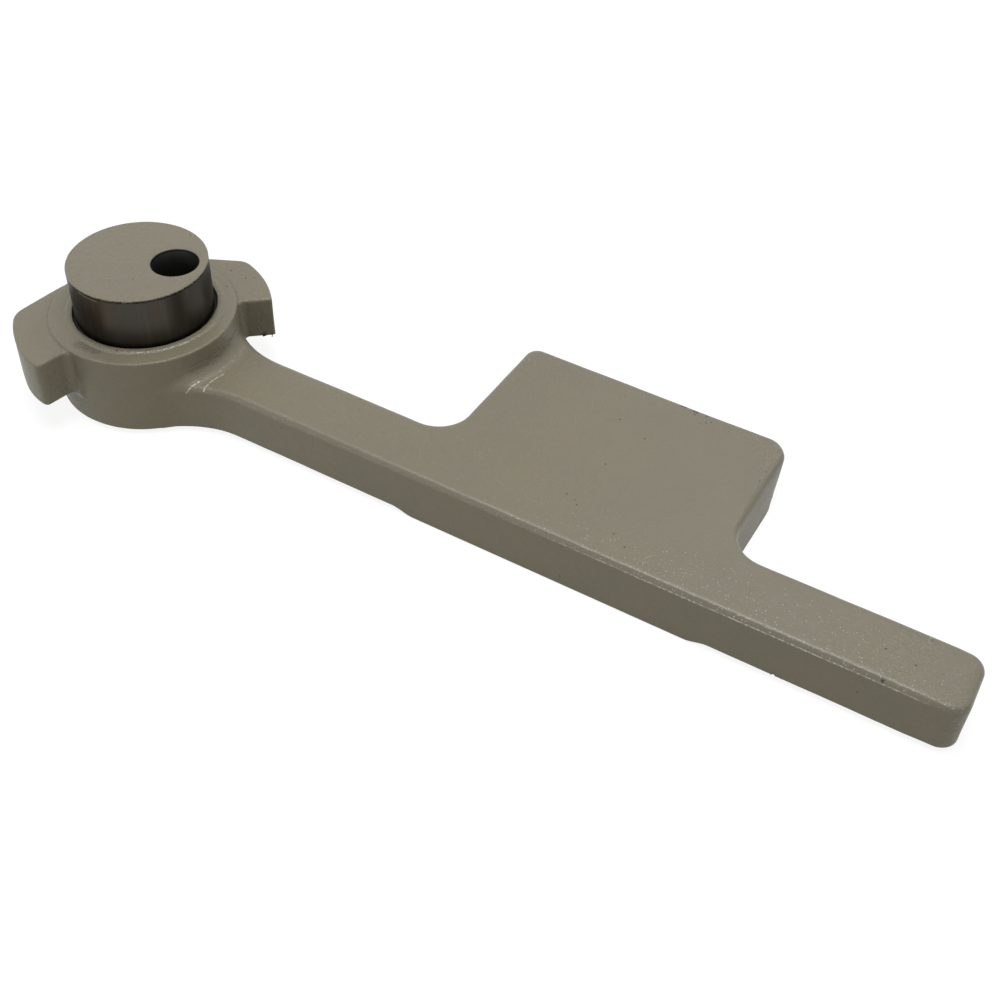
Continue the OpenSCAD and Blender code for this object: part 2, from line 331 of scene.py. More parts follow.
def surface_net(low_corner, high_corner, cell):
    axes, value = grid_values(low_corner, high_corner, cell)
    total = np.zeros([n - 1 for n in value.shape] + [3])
    count = np.zeros([n - 1 for n in value.shape])
    crossings = [crossed_lines(axis, axes, value, cell) for axis in range(3)]
    for axis, (line, p, _) in enumerate(crossings):
        b, c = [a for a in range(3) if a != axis]
        for db, dc in ((0, 0), (0, -1), (-1, 0), (-1, -1)):
            near = shifted(line, ((b, db), (c, dc)))
            ok = np.all([(near[a] >= 0) & (near[a] < count.shape[a]) for a in range(3)], axis=0)
            near = tuple(n[ok] for n in near)
            np.add.at(total, near, p[ok])
            np.add.at(count, near, 1)
    number = -np.ones(count.shape, int)
    used = count > 0
    number[used] = np.arange(used.sum())
    quads = []
    for axis, (line, _, starts_inside) in enumerate(crossings):
        b, c = (axis + 1) % 3, (axis + 2) % 3
        quad = np.stack([number[tuple(shifted(line, ((b, db), (c, dc))))]
                         for db, dc in ((-1, -1), (0, -1), (0, 0), (-1, 0))], axis=1)
        quad[~starts_inside] = quad[~starts_inside][:, ::-1]
        quads.append(quad)
    quads = np.concatenate(quads)
    points = total[used] / count[used][:, None]
    return points, np.concatenate([quads[:, [0, 1, 2]], quads[:, [0, 2, 3]]])

points, faces = surface_net((-58, -58, -5), (376, 88, 39), 2.0)
print("coarse net:", len(points), "points,", len(faces), "triangles")

# %% [markdown]
# Then every point slides down the slope of the field onto the surface itself. The
# slope there is also the exact surface normal, which shades far better than one that
# is averaged from the triangles.

# %% Settling points onto the surface
def slope(points, h=.02):
    """The field and its slope at each point."""
    g = np.stack([(distance(points + move) - distance(points - move)) / (2 * h)
                  for move in h * np.eye(3)], axis=1)
    return distance(points), g

def settle(points, turns=2):
    """Points moved onto the surface, at most .6 mm a turn, with their normals."""
    for _ in range(turns):
        d, g = slope(points)
        move = d[:, None] * g / np.maximum((g ** 2).sum(axis=1), .25)[:, None]
        length = np.linalg.norm(move, axis=1)[:, None]
        points = points - move * np.minimum(1, .6 / np.maximum(length, 1e-9))
    g = slope(points)[1]
    return points, g / np.linalg.norm(g, axis=1)[:, None]

points, normals = settle(points, 5)
print("farthest point from the surface, mm:", np.abs(distance(points)).max().round(3))

# %% [markdown]
# Triangle edges whose ends face clearly different ways are cut in half, and the new
# points slide onto the surface too. So the rounded edges get fine facets and the flat
# faces keep large ones. A triangle with one, two or three cut edges becomes two, three
# or four.

# %% Cutting the triangles
def cut_faces(faces, m):
    """Triangles after the cuts; m holds each edge's middle point, or -1."""
    marks = (m >= 0).sum(axis=1)
    made = [faces[marks == 0]]
    rest = marks == 3
    f, c = faces[rest], m[rest]
    made += [np.stack(t, axis=1) for t in (
        (f[:, 0], c[:, 0], c[:, 2]), (c[:, 0], f[:, 1], c[:, 1]),
        (c[:, 2], c[:, 1], f[:, 2]), (c[:, 0], c[:, 1], c[:, 2]))]
    for s in range(3):
        f, c = np.roll(faces, -s, axis=1), np.roll(m, -s, axis=1)
        one = (marks == 1) & (c[:, 0] >= 0)
        made += [np.stack(t, axis=1) for t in ((f[one, 0], c[one, 0], f[one, 2]),
                                               (c[one, 0], f[one, 1], f[one, 2]))]
        two = (marks == 2) & (c[:, 2] < 0)
        made += [np.stack(t, axis=1) for t in ((c[two, 0], f[two, 1], c[two, 1]),
                                               (f[two, 0], c[two, 0], c[two, 1]),
                                               (f[two, 0], c[two, 1], f[two, 2]))]
    return np.concatenate(made)

# %% [markdown]
# Nothing is cut where the turned cam will cover the casting. Four rounds, each of which
# may cut shorter edges than the last, leave facets of about a third of a millimetre on
# the sharpest rounds.

# %% Refining the mesh
def hidden(points):
    """Places that the turned cam covers."""
    r = np.hypot(points[:, 0] - CAM_MIDDLE[0], points[:, 1] - CAM_MIDDLE[1])
    hole = np.hypot(points[:, 0] - BORE_MIDDLE[0], points[:, 1] - BORE_MIDDLE[1])
    return ((r < POCKET_R + 1) & (points[:, 2] > 24)) | (hole < HOLE_R + 1)

def refine(points, normals, faces, turn_limit, shortest):
    """Cuts the edges that turn by more than a limit in degrees."""
    edges = np.sort(np.concatenate([faces[:, [0, 1]], faces[:, [1, 2]], faces[:, [2, 0]]]), axis=1)
    pairs, where = np.unique(edges, axis=0, return_inverse=True)
    a, b = pairs.T
    turn = (normals[a] * normals[b]).sum(axis=1)
    length = np.linalg.norm(points[a] - points[b], axis=1)
    cut = (turn < math.cos(math.radians(turn_limit))) & (length > shortest)
    cut &= ~(hidden(points[a]) & hidden(points[b]))
    middle = -np.ones(len(pairs), int)
    middle[cut] = len(points) + np.arange(cut.sum())
    added, added_n = settle((points[a[cut]] + points[b[cut]]) / 2)
    points, normals = np.concatenate([points, added]), np.concatenate([normals, added_n])
    return points, normals, cut_faces(faces, middle[where.reshape(3, -1).T])

for limit, shortest in ((14, .9), (13, .6), (12, .45), (12, .35)):
    points, normals, faces = refine(points, normals, faces, limit, shortest)
    print("casting:", len(points), "points,", len(faces), "triangles")

# %% [markdown]
# The same field tells where paint wears and where creases lie in shade. Just under an
# edge the metal is thin, and just above a crease the air is narrow, so a probe a little
# way in and a little way out along the normal measures both. The results ride on the
# mesh as two named values that the finish reads, for pale edges and painted shade.

# %% Edges and creases
PROBE = .9
# The edge value makes edges paler, part wear and part painted highlight; the crease value paints
# shade into creases.
edge_value = np.clip((distance(points - PROBE * normals) + PROBE) / PROBE, 0, 1)
crease_value = np.clip((PROBE - distance(points + PROBE * normals)) / PROBE, 0, 1)
print("edge", edge_value.mean().round(3), "crease", crease_value.mean().round(3))

# %% [markdown]
# The tables become a Blender object. The points move to the CAD part's origin and from
# millimetres to metres here, in one place.

# %% The casting as an object
def build_mesh(name, corners, triangles, vertex_normals=None, **values):
    """A Blender object from tables in millimetres about the hub's axis."""
    moved = (corners - np.array([BORE_MIDDLE[0], BORE_MIDDLE[1], 0])) / 1000
    mesh = bpy.data.meshes.new(name)
    mesh.from_pydata(moved.tolist(), [], [list(t) for t in triangles.tolist()])
    mesh.polygons.foreach_set("use_smooth", [True] * len(mesh.polygons))
    for key, table in values.items():
        mesh.attributes.new(key, "FLOAT", "POINT").data.foreach_set("value", table)
    if vertex_normals is not None:
        mesh.normals_split_custom_set_from_vertices(vertex_normals.tolist())
    thing = bpy.data.objects.new(name, mesh)
    bpy.context.scene.collection.objects.link(thing)
    return thing

body = build_mesh("casting", points, faces, normals, edge=edge_value, crease=crease_value)
print("casting, mm:", [round(1000 * v, 1) for v in body.dimensions])

# %% [markdown]
# ## The turned cam
# After casting, the cam is turned on a lathe about its own axis, and the pivot bore is
# drilled 16 mm away from it. Both leave round, exact surfaces, so this piece is made of
# rings: circles that start round the bore, drift to the cam's axis across the top,
# run down the side into the relief groove and climb over the low collar. Blender's
# Screw modifier spins a profile about one axis, and this piece has two, so the rings
# are written out. A small ripple stands for the uneven paint on the rim and the collar.

# %% Rings of the cam
SEGMENTS = 256
around = np.linspace(0, 2 * math.pi, SEGMENTS, endpoint=False)

def ring(share, radius, z, ripple=0.0):
    """A circle; share 0 lies round the bore and 1 round the cam."""
    middle = BORE_MIDDLE + (CAM_MIDDLE - BORE_MIDDLE) * share
    wobble = np.sin(9 * around + .7) + .6 * np.sin(23 * around + 2) + .4 * np.sin(51 * around)
    r = radius + ripple * wobble
    return np.stack([middle[0] + r * np.cos(around), middle[1] + r * np.sin(around),
                     np.full(SEGMENTS, z)], axis=1)

MOUTH_R, RIM_R = 10.95, 29.05
inside = [(12.0, 33.2), (12.0, .4), (11.6, .02), (10.8, .02)]
inside += [(BORE_R, z) for z in (.9, 8, 20, 33, 46, 58.2)]
inside += [(10.22, 58.58), (10.5, 58.8), (MOUTH_R, 58.89)]
rings = [ring(0, r, z) for r, z in inside]
for t in np.linspace(.03, .985, 9):
    rings.append(ring(t, MOUTH_R + (RIM_R - MOUTH_R) * t, CAM_TOP))

rim = [(29.2, CAM_TOP, .01), (29.42, 58.86, .02), (29.55, 58.76, .03), (CAM_R, 58.56, .012)]
side = [(CAM_R, z, 0) for z in (58.2, 54, 48, 42, 37, 34.9)]
groove = [(29.62, 34.4, 0), (30.0, 34.2, 0), (30.5, 34.25, 0), (30.72, 34.6, .03)]
collar = [(30.78, 35.4, .04), (30.95, 35.8, .05), (31.3, 35.97, .04), (32.1, 36.02, 0),
          (32.8, 35.99, .05), (33.2, 35.9, .07), (33.6, 35.7, .08), (34.0, 35.52, .09),
          (34.5, 35.38, .06), (35.2, 35.1, 0), (35.3, 33.2, 0)]
rings += [ring(1, r, z, ripple) for r, z, ripple in rim + side + groove + collar]
print("rings of the cam:", len(rings))

# %% [markdown]
# Neighbouring rings are joined with pairs of triangles, and the last ring closes onto
# the first one inside the casting, so the cam is a closed solid like a real part.

# %% Joining the rings
triangles = []
index = np.arange(SEGMENTS)
for n in range(len(rings)):
    this, after = n * SEGMENTS, ((n + 1) % len(rings)) * SEGMENTS
    a, b = this + index, this + (index + 1) % SEGMENTS
    c, d = after + (index + 1) % SEGMENTS, after + index
    triangles += [np.stack([a, b, c], axis=1), np.stack([a, c, d], axis=1)]
triangles = np.concatenate(triangles)
cam = build_mesh("turned_cam", np.concatenate(rings), triangles)
cam.data.update()
print("triangles in all:", len(faces) + len(triangles))

# %% [markdown]
# Smooth shading must stop where the lathe tool left a crisp line, at the foot of the
# groove and the hidden underside. A limit on the angle does that.

# %% Crisp lines on the cam
bpy.context.view_layer.objects.active = cam
for thing in bpy.context.selected_objects:
    thing.select_set(False)
cam.select_set(True)
bpy.ops.object.shade_smooth_by_angle(angle=math.radians(38))
print("crisp edges:", any(a.name == "sharp_edge" for a in cam.data.attributes))

# %% [markdown]
# ## The finishes
# One small class holds a node tree, of a material or of the world. Every node comes
# from its `node` method, which takes the node's type, its settings and what goes into
# its sockets, by name or, after an n, by number.

# %% Trees of nodes
class Finish:
    """The node tree of one material or world."""
    def __init__(self, owner):
        self.owner = owner
        owner.use_nodes = True
        self.tree = owner.node_tree
        self.tree.nodes.clear()

    def put(self, slot, value):
        if isinstance(value, Value):
            self.tree.links.new(value.socket, slot)
        elif isinstance(value, bpy.types.NodeSocket):
            self.tree.links.new(value, slot)
        else:
            slot.default_value = value

    def node(self, kind, settings=None, **sockets):
        made = self.tree.nodes.new(kind)
        for key, value in (settings or {}).items():
            setattr(made, key, value)
        for key, value in sockets.items():
            by_number = key[0] == "n" and key[1:].isdigit()
            self.put(made.inputs[int(key[1:]) if by_number else key.replace("_", " ")], value)
        return made

    def out(self, made, output=0):
        return Value(self, made.outputs[output])

    def blend(self, factor, first, second):
        """Mixes two colours."""
        made = self.node("ShaderNodeMix", {"data_type": "RGBA"}, n0=factor, n6=first, n7=second)
        return Value(self, made.outputs[2])

    def end_with(self, shader, kind="ShaderNodeOutputMaterial"):
        """Links the shader to the output and gives back the material or world."""
        self.node(kind, None, Surface=shader)
        return self.owner

# %% [markdown]
# Shader sums stay readable when sockets can be added and multiplied like numbers.
# `Value` wraps a socket, and + - * on it make Math nodes, also in `1 - mask`, where the
# number comes first. `fade` is a smooth ramp from 0 to 1 and makes most of the masks.

# %% Sums on sockets
class Value:
    """A number that varies over the surface."""
    def __init__(self, finish, socket):
        self.finish, self.socket = finish, socket

    def math(self, operation, *others):
        made = self.finish.node("ShaderNodeMath", {"operation": operation})
        for slot, value in zip(made.inputs, (self,) + others):
            self.finish.put(slot, value)
        return Value(self.finish, made.outputs[0])

    def __add__(self, other): return self.math("ADD", other)
    def __sub__(self, other): return self.math("SUBTRACT", other)
    def __mul__(self, other): return self.math("MULTIPLY", other)
    def __neg__(self): return self.math("MULTIPLY", -1.0)
    __radd__ = __add__
    __rmul__ = __mul__
    def __rsub__(self, other): return (-self) + other

    def larger(self, other):
        return self.math("MAXIMUM", other)

    def size(self):
        return self.math("ABSOLUTE")

    def fade(self, low_end, high_end):
        """0 below the first number, 1 above the second, smooth between."""
        made = self.finish.node("ShaderNodeMapRange", {"interpolation_type": "SMOOTHSTEP"},
                                n0=self, n1=low_end, n2=high_end, n3=0.0, n4=1.0)
        return Value(self.finish, made.outputs[0])

# %% [markdown]
# Patterns are measured in millimetres on the object itself, so they stay put from
# every side. `grain` is a cloud of a given size, `cells` gives scattered dots with a
# chance for each, and `dots` marks chosen places.

# %% Patterns
class Patterns:
    def __init__(self, finish):
        self.f = finish
        place = finish.node("ShaderNodeTexCoord")
        self.mm = self.vector("SCALE", n0=place.outputs["Object"], Scale=1000.0).outputs[0]
        parts = finish.node("ShaderNodeSeparateXYZ", None, n0=self.mm)
        self.x, self.y, self.z = (finish.out(parts, n) for n in range(3))

    def vector(self, operation, **sockets):
        return self.f.node("ShaderNodeVectorMath", {"operation": operation}, **sockets)

    def grain(self, size, detail=2.0, rough=.5, shift=0.0, stretch=None):
        """Cloudy noise between 0 and 1 whose blotches are about size mm wide."""
        vector = self.vector("ADD", n0=self.mm, n1=(shift, 2 * shift, -shift)).outputs[0]
        if stretch:
            vector = self.vector("MULTIPLY", n0=vector, n1=stretch).outputs[0]
        made = self.f.node("ShaderNodeTexNoise", None, Vector=vector, Scale=1.0 / size,
                           Detail=detail, Roughness=rough)
        return self.f.out(made)

    def cells(self, size, channel):
        """Distance from the nearest of many scattered dots, and that dot's own chance."""
        made = self.f.node("ShaderNodeTexVoronoi", None, Vector=self.mm, Scale=1.0 / size)
        colour = self.f.node("ShaderNodeSeparateColor", None, n0=made.outputs["Color"])
        return self.f.out(made), self.f.out(colour, channel)

    def radius(self, middle):
        """Distance in mm from an upright axis."""
        dx, dy = self.x - middle[0], self.y - middle[1]
        return (dx * dx + dy * dy).math("SQRT")

    def gap(self, place):
        """Distance in mm from a place."""
        return self.f.out(self.vector("DISTANCE", n0=self.mm, n1=place), 1)

    def dots(self, places):
        """1 at the middle of each place (x, y, z, radius), 0 outside, ragged between."""
        ragged = self.grain(.7, 2.0, .6)
        total = None
        for x, y, z, r in places:
            mark = 1 - (self.gap((x, y, z)) + (ragged - .5) * (1.6 * r)).fade(.55 * r, 1.15 * r)
            total = mark if total is None else total.larger(mark)
        return total

# %% [markdown]
# Colours are picked on a screen, where values run from 0 to 255. Shaders want linear
# numbers, so one function converts them.

# %% Screen colours
def linear(*rgb):
    """A colour picked from 0-255 screen values, in the linear numbers shaders use."""
    out = []
    for v in rgb:
        v = v / 255
        out.append(v / 12.92 if v <= .04045 else ((v + .055) / 1.055) ** 2.4)
    return tuple(out) + (1.0,)

print("mid grey-beige:", [round(v, 3) for v in linear(129, 122, 102)])

# %% [markdown]
# ## Paint
# The handle wears one satin coat of grey-beige paint, sprayed thickly over a sandy
# casting. A photo of paint would have to be unwrapped onto the mesh and would blur
# close up, so the coat is built from noise. Its colour drifts a little, and it is paler
# on the top edges, part wear and part painted highlight. The creases are painted darker
# as painted shade. Along the grip's front the sandy grain is painted lighter, a painted
# highlight, and one mask marks that area.

# %% Colour of the paint
def paint_colour(f, p, sand, glint_area, edge, crease):
    drift, cloud = p.grain(55, 2.0, .5), p.grain(14, 3.0, .6, 31)
    colour = f.blend(drift.fade(.35, .65), linear(126, 120, 102), linear(129, 122, 102))
    colour = f.blend(cloud.fade(.3, .75) * .35, colour, linear(122, 119, 104))
    # Lighter grains, lighter still along the grip's front as a painted highlight.
    colour = f.blend((sand - .5).fade(.05, .28) * (.24 + glint_area * .3), colour, linear(148, 142, 128))
    colour = f.blend((.5 - sand).fade(.06, .3) * .2, colour, linear(112, 107, 93))
    # Paler top edges: part wear, part painted highlight.
    colour = f.blend(edge * .25, colour, linear(165, 161, 149))
    # Darker creases: painted shade.
    return f.blend(crease * .8, colour, linear(92, 87, 74))

# %% [markdown]
# The skin has orange peel about 2 mm across, a finer sandy grain and pinholes, which
# go into a Bump node. The paint is glossier on the tips of the finest grain and drier
# on upright sides, where less of the spray landed. On top lie dark specks and pits at
# known places, then painted highlights: tiny bright sparkles and thin glints from the
# last mask.

# %% The painted skin
def paint(f, p, edge, crease, specks, painted_glints):
    """Adds the paint's nodes and returns its shader."""
    sand, peel = p.grain(1.3, 3.0, .65, 7), p.grain(2.4, 2.0, .5, 3)
    fine = p.grain(.75, 2.0, .6, 11)
    # The area along the grip's front that gets painted highlights on its grain.
    glint_area = p.x.fade(130, 250) * (1 - p.x.fade(325, 356) * .5)
    glint_area = glint_area * (1 - p.y.fade(-16, 9)) * p.z.fade(18.5, 19.5)
    colour = paint_colour(f, p, sand, glint_area, edge, crease)
    hole, chance = p.cells(7.0, 0)
    pin = (1 - hole.fade(.03, .07)) * chance.fade(.78, .8)
    colour = f.blend((pin * .7).larger(p.dots(specks) * .9), colour, linear(62, 58, 50))
    # Tiny bright sparkles are painted highlights, most of them along the grip's front and on
    # edges.
    grit, luck = p.cells(.85, 1)
    painted_sparkle = (1 - grit.fade(.16, .36)) * (luck + glint_area * (.2 + edge * .3)).fade(.97, 1.15)
    colour = f.blend(painted_sparkle * .8, colour, linear(196, 193, 184))
    # Thin painted highlights laid into the colour.
    colour = f.blend(painted_glints * .65, colour, linear(224, 222, 215))
    skin = peel * .3 + sand * .3 + fine * .24 - pin * .5
    bump = f.node("ShaderNodeBump", None, Strength=1.0, Distance=.0008, Height=skin)
    facing = f.out(f.node("ShaderNodeSeparateXYZ", None,
                          n0=f.node("ShaderNodeNewGeometry").outputs["Normal"]), 2)
    dry = 1 - facing.size().fade(.05, .4)
    rough = .24 + (p.grain(9, 2.0, .5, 17) - .5) * .1 - fine.fade(.56, .66) * .13 + dry * .2
    return f.node("ShaderNodeBsdfPrincipled", None, Base_Color=colour, Roughness=rough,
                  Normal=bump.outputs[0], IOR=1.5, Specular_IOR_Level=.34).outputs[0]

# %% [markdown]
# The casting's own marks were measured on it: single specks, the nicks along the
# block's back edge, the pits along its right edge and a chip on the grip. Two broken
# lines of small painted highlights lie in the neck.

# %% Marks on the casting
CAST_SPECKS = [(8.6, 33.2, 34.7, .4), (11.6, 35.2, 34.7, .35), (190.7, -.1, 21.4, .4),
               (195, -1.4, 21.4, .3), (196.9, -3.4, 21.4, .4), (149.9, 73.9, 21.3, .35),
               (202.4, 45.7, 21.4, .4), (206.6, 73.2, 21.1, .9), (207.9, 73.1, 21.1, .8),
               (212.4, 72.9, 21.1, .9), (213.6, 72.8, 21.1, .8), (213.3, 71, 21.3, .5),
               (218.1, 72.7, 21.1, .7), (219.5, 68.5, 21.3, .4), (221.4, 70.1, 21.3, .4),
               (217.6, 66.6, 21.3, .35), (252.3, 38.7, 21.2, .4), (252.3, 42.8, 21.2, .35),
               (252.4, 47.7, 21.2, .45), (252.5, 53.9, 21.2, .4), (323.8, -9.4, 21.4, .5),
               (331.3, -16.4, 21.4, .35), (344.9, -9.5, 21.4, .35), (327.4, -23.2, 20.6, .9),
               (25, .4, 32.8, .5)]
ROUGH_PATCH = [(-18.4, -43.2, 35.5, 3), (-14.7, -42.5, 35.4, 3.2), (-10.2, -41.9, 35.4, 3)]
# Two broken lines of painted highlights in the neck.
NECK_GLINT_LINES = ([(24.3, -29.5, 18.9), (25.1, -28.5, 20.5), (25.7, -27.1, 21.5), (26.7, -24.3, 22.1),
              (26.8, -23.2, 22.2)],
             [(30.9, -26.0, 20.5), (30.7, -24.1, 21.5), (30.4, -21.1, 21.6), (30.7, -18.2, 21.6),
              (31.2, -15.5, 21.6), (32.1, -12.5, 21.6)])
GLINT_R = .37
NECK_GLINTS = [tuple(u + (v - u) * t for u, v in zip(a, b)) + (GLINT_R,)
        for line in NECK_GLINT_LINES for a, b in zip(line, line[1:]) for t in (0, .3, .55)]
print("specks:", len(CAST_SPECKS), "glints in the runs:", len(NECK_GLINTS))

# %% [markdown]
# The two ridges along the arm's front edge shine. Each is a thin line at a known height
# or depth, wandering a little and broken into beads by fine noise. Lamps alone would
# spread such a glint over the whole round, so it is laid into the paint's colour.

# %% Glints along the ridges
def ridge_glints(p):
    """Thin beaded lines on the two ridges of the front edge."""
    wander = (p.grain(6, 2.0, .5, 61) - .5) * .5
    beads = (p.grain(.9, 2.0, .6, 57) - .5).fade(-.02, .06)
    short_of_end = 1 - p.x.fade(338, 346)
    low = 1 - (p.z - 19.5 + wander * .4).size().fade(.1, .34)
    low = low * (1 - p.y.fade(-22.9, -22.5)) * p.x.fade(150, 265) * short_of_end
    high = 1 - (p.y + 21.9 + wander * .4).size().fade(.05, .3)
    high = high * p.z.fade(20.6, 20.9) * p.x.fade(60, 240) * short_of_end
    return (low * (.25 + .75 * beads)).larger(high * (.3 + .3 * beads) * .6)

# %% [markdown]
# The casting's coat joins all of this with the two values measured on the mesh: pale
# edges on the arm and the block, part wear and part painted highlight, and painted
# shade in the creases, with a darker rough patch on the ring.

# %% The casting's coat
def measured(f, name):
    """A value that rides on the mesh under this name."""
    return f.out(f.node("ShaderNodeAttribute", {"attribute_name": name}), 2)

coat = Finish(bpy.data.materials.new("Grey-beige paint"))
at = Patterns(coat)
# Paler top edges on the arm and the block: part wear, part painted highlight.
edge_wear_and_highlight = measured(coat, "edge").fade(.06, .15) * at.z.fade(17, 18.5) * at.x.fade(28, 42)
crease_of = measured(coat, "crease").fade(.02, .3)
# Painted shade in the creases, and a darker rough patch on the ring.
crease_shade_and_patch = crease_of.larger(at.dots(ROUGH_PATCH) * .75)
# Painted highlights in the neck and along the front ridges.
neck_and_ridge_glints = at.dots(NECK_GLINTS).larger(ridge_glints(at))
body.data.materials.append(coat.end_with(paint(coat, at, edge_wear_and_highlight, crease_shade_and_patch, CAST_SPECKS, neck_and_ridge_glints)))
print("nodes in the paint:", len(coat.tree.nodes))

# %% [markdown]
# ## Bare steel
# The cam's side must run true, so it stays unpainted. Turning and handling left it dark
# and satiny, with faint upright streaks, rusty patches and a brown heat tint at one
# side. It is darker towards its foot, and its left side is painted lighter, a painted
# reflection. The bore is dark all the way down. An anisotropic shader could draw
# the lathe's fine lines, but from here only the streaks show, so stretched noise is
# enough.

# %% Colour of the steel
turned = Finish(bpy.data.materials.new("Turned cam"))
at = Patterns(turned)
from_cam, from_bore = at.radius(CAM_MIDDLE - BORE_MIDDLE), at.radius((0.0, 0.0))
streaks, broad = at.grain(2.2, 3.0, .6, 5, (1, 1, .04)), at.grain(13, 2.0, .5, 9, (1, 1, .12))
patches = at.grain(9, 3.0, .6, 21)
steel = turned.blend(broad.fade(.35, .65), linear(56, 52, 46), linear(66, 63, 58))
steel = turned.blend((streaks - .5).fade(.04, .25) * .3, steel, linear(92, 89, 85))
steel = turned.blend(patches.fade(.5, .75) * .35, steel, linear(72, 56, 42))
heat = 1 - (at.gap((-10, -36.5, 51.5)) + (patches - .5) * 14).fade(3, 11)
steel = turned.blend(heat * .22, steel, linear(84, 62, 42))
# The left side is painted lighter, a painted reflection.
steel = turned.blend((1 - at.x.fade(-40, -22)) * .6, steel, linear(82, 77, 68))
steel = turned.blend((1 - at.z.fade(35.0, 41.0)) * .5, steel, linear(52, 48, 43))
in_bore = 1 - from_bore.fade(10.02, 10.3)
steel = turned.blend(in_bore * .85, steel, linear(72, 72, 72))
print("nodes on the cam so far:", len(turned.tree.nodes))

# %% [markdown]
# A dark line of old oil lies just under the paint's edge at the rim. The groove at the
# foot is painted near-black as painted shade, and there the metal doesn't shine at all.

# %% Rim, groove and the steel's shader
rim_dark = (at.z + (at.grain(2.6, 2.0, .6, 40) - .5) * 1.2).fade(57.3, 57.8)
steel = turned.blend(rim_dark * .8, steel, linear(30, 27, 23))
# The groove is painted near-black, a painted shade, and made dull.
in_groove = from_cam.fade(29.66, 29.8) * (1 - from_cam.fade(30.7, 30.95))
in_groove = in_groove * (1 - at.z.fade(35.5, 35.8))
steel = turned.blend(in_groove, steel, linear(14, 13, 12))
steel_rough = .36 + (streaks - .5) * .2 + in_groove * .4 + in_bore * .1
steel_bump = turned.node("ShaderNodeBump", None, Strength=.25, Distance=.0001,
                         Height=streaks * .7 + at.grain(.5, 2.0, .6, 2) * .3)
bare = turned.node("ShaderNodeBsdfPrincipled", None, Base_Color=steel, Roughness=steel_rough,
                   Metallic=.9 - in_groove * .9, Normal=steel_bump.outputs[0],
                   Specular_Tint=(.6, .6, .6, 1)).outputs[0]
print("nodes on the cam so far:", len(turned.tree.nodes))

# %% [markdown]
# Paint covers the cam's top and the low collar. Its edge at the rim is ragged, and just
# below it a short sliver of paint lies on the bare side. The toe of the collar carries
# a row of small bright dashes, painted highlights laid into the colour.

# %% Where the cam is painted
CAM_SPECKS = [(-7.6, 19.5, 58.9, .5), (-13.7, -24.4, 58.9, .35), (-6.3, -18.8, 58.9, .4),
              (-2.6, -38.2, 35.7, .5)]
ragged = at.grain(1.2, 3.0, .7, 13)
on_top = (at.z + (ragged - .5) * 2.4).fade(58.26, 58.4) * from_bore.fade(10.1, 10.25)
line_z = 57.3 - (at.x + 20) * .06
sliver = 1 - (at.z - line_z + (ragged - .5) * .3).size().fade(.1, .26)
sliver = sliver * (1 - at.y.fade(-31, -30)) * at.x.fade(-21, -20) * (1 - at.x.fade(-10.4, -9.6))
painted = on_top.larger(from_cam.fade(30.72, 30.9)).larger(sliver)

# Painted highlights: bright dashes on the collar's toe.
toe = from_cam.fade(33.2, 33.5) * (1 - from_cam.fade(33.6, 34.0))
toe = toe * at.z.fade(34, 34.5) * (1 - at.z.fade(40, 41))
collar_glints = (at.grain(1.1, 2.0, .6, 52) - .5).fade(.02, .08)
collar_glints = toe * collar_glints * at.x.fade(-2, 2) * (1 - at.y.fade(-16, -9)) * .8
# A paler rim, part wear and part painted highlight, and painted shade round the bore's mouth.
cam_rim_wear_and_highlight = from_cam.fade(28.9, 29.5) * at.z.fade(58, 58.4) * .15
cam_crease = (1 - from_bore.fade(10.2, 10.8)) * .2
cam_paint = paint(turned, at, cam_rim_wear_and_highlight, cam_crease, CAM_SPECKS, collar_glints)
both = turned.node("ShaderNodeMixShader", None, n0=painted, n1=bare, n2=cam_paint)
cam.data.materials.append(turned.end_with(both.outputs[0]))
print("nodes on the cam:", len(turned.tree.nodes))

# %% [markdown]
# Both pieces belong to the one casting of the CAD part and take its place.

# %% Tie the pieces to the frame
for piece in (body, cam):
    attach(piece, "root")
    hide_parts("clamp_handle")
    print(piece.name, "takes its place")

# %% [markdown]
# ## Floor and light
# The handle lies on a white studio table. To the camera and in reflections the table
# glows white and still takes the soft shadow under the part. To all other rays it is a
# plain warm grey, so that it throws only a little light back up onto the handle.

# %% White floor
def seen_rays(f):
    """1 for rays of the camera, of reflections and of glass, 0 for all others."""
    rays = f.node("ShaderNodeLightPath")
    seen = f.out(rays, "Is Camera Ray").larger(f.out(rays, "Is Glossy Ray"))
    return seen.larger(f.out(rays, "Is Transmission Ray"))

white = Finish(bpy.data.materials.new("White floor"))
plain_floor = white.node("ShaderNodeBsdfDiffuse", None, Color=(.53, .51, .44, 1))
half_floor = white.node("ShaderNodeBsdfDiffuse", None, Color=(.2, .2, .2, 1))
glow = white.node("ShaderNodeEmission", None, Color=(1, 1, 1, 1), Strength=.88)
shown = white.node("ShaderNodeAddShader", None, n0=half_floor.outputs[0], n1=glow.outputs[0])
mixed = white.node("ShaderNodeMixShader", None, n0=seen_rays(white), n1=plain_floor.outputs[0],
                   n2=shown.outputs[0])
floor_mesh = bpy.data.meshes.new("Floor")
FLOOR_HALF, FLOOR_Z = 6.0, -.0022       # metres; the pad under the block ends at -.002
signs = ((-1, -1), (1, -1), (1, 1), (-1, 1))
corners = [(x * FLOOR_HALF, y * FLOOR_HALF, FLOOR_Z) for x, y in signs]
floor_mesh.from_pydata(corners, [], [(0, 1, 2, 3)])
floor = bpy.data.objects.new("Floor", floor_mesh)
bpy.context.scene.collection.objects.link(floor)
floor_mesh.materials.append(white.end_with(mixed.outputs[0]))
print("floor:", 2 * FLOOR_HALF, "m square")

# %% [markdown]
# Behind the table the room is white as well, for the same rays. As a light it is a
# weak, slightly warm fill, so that the shadows and the upright faces keep their tone.

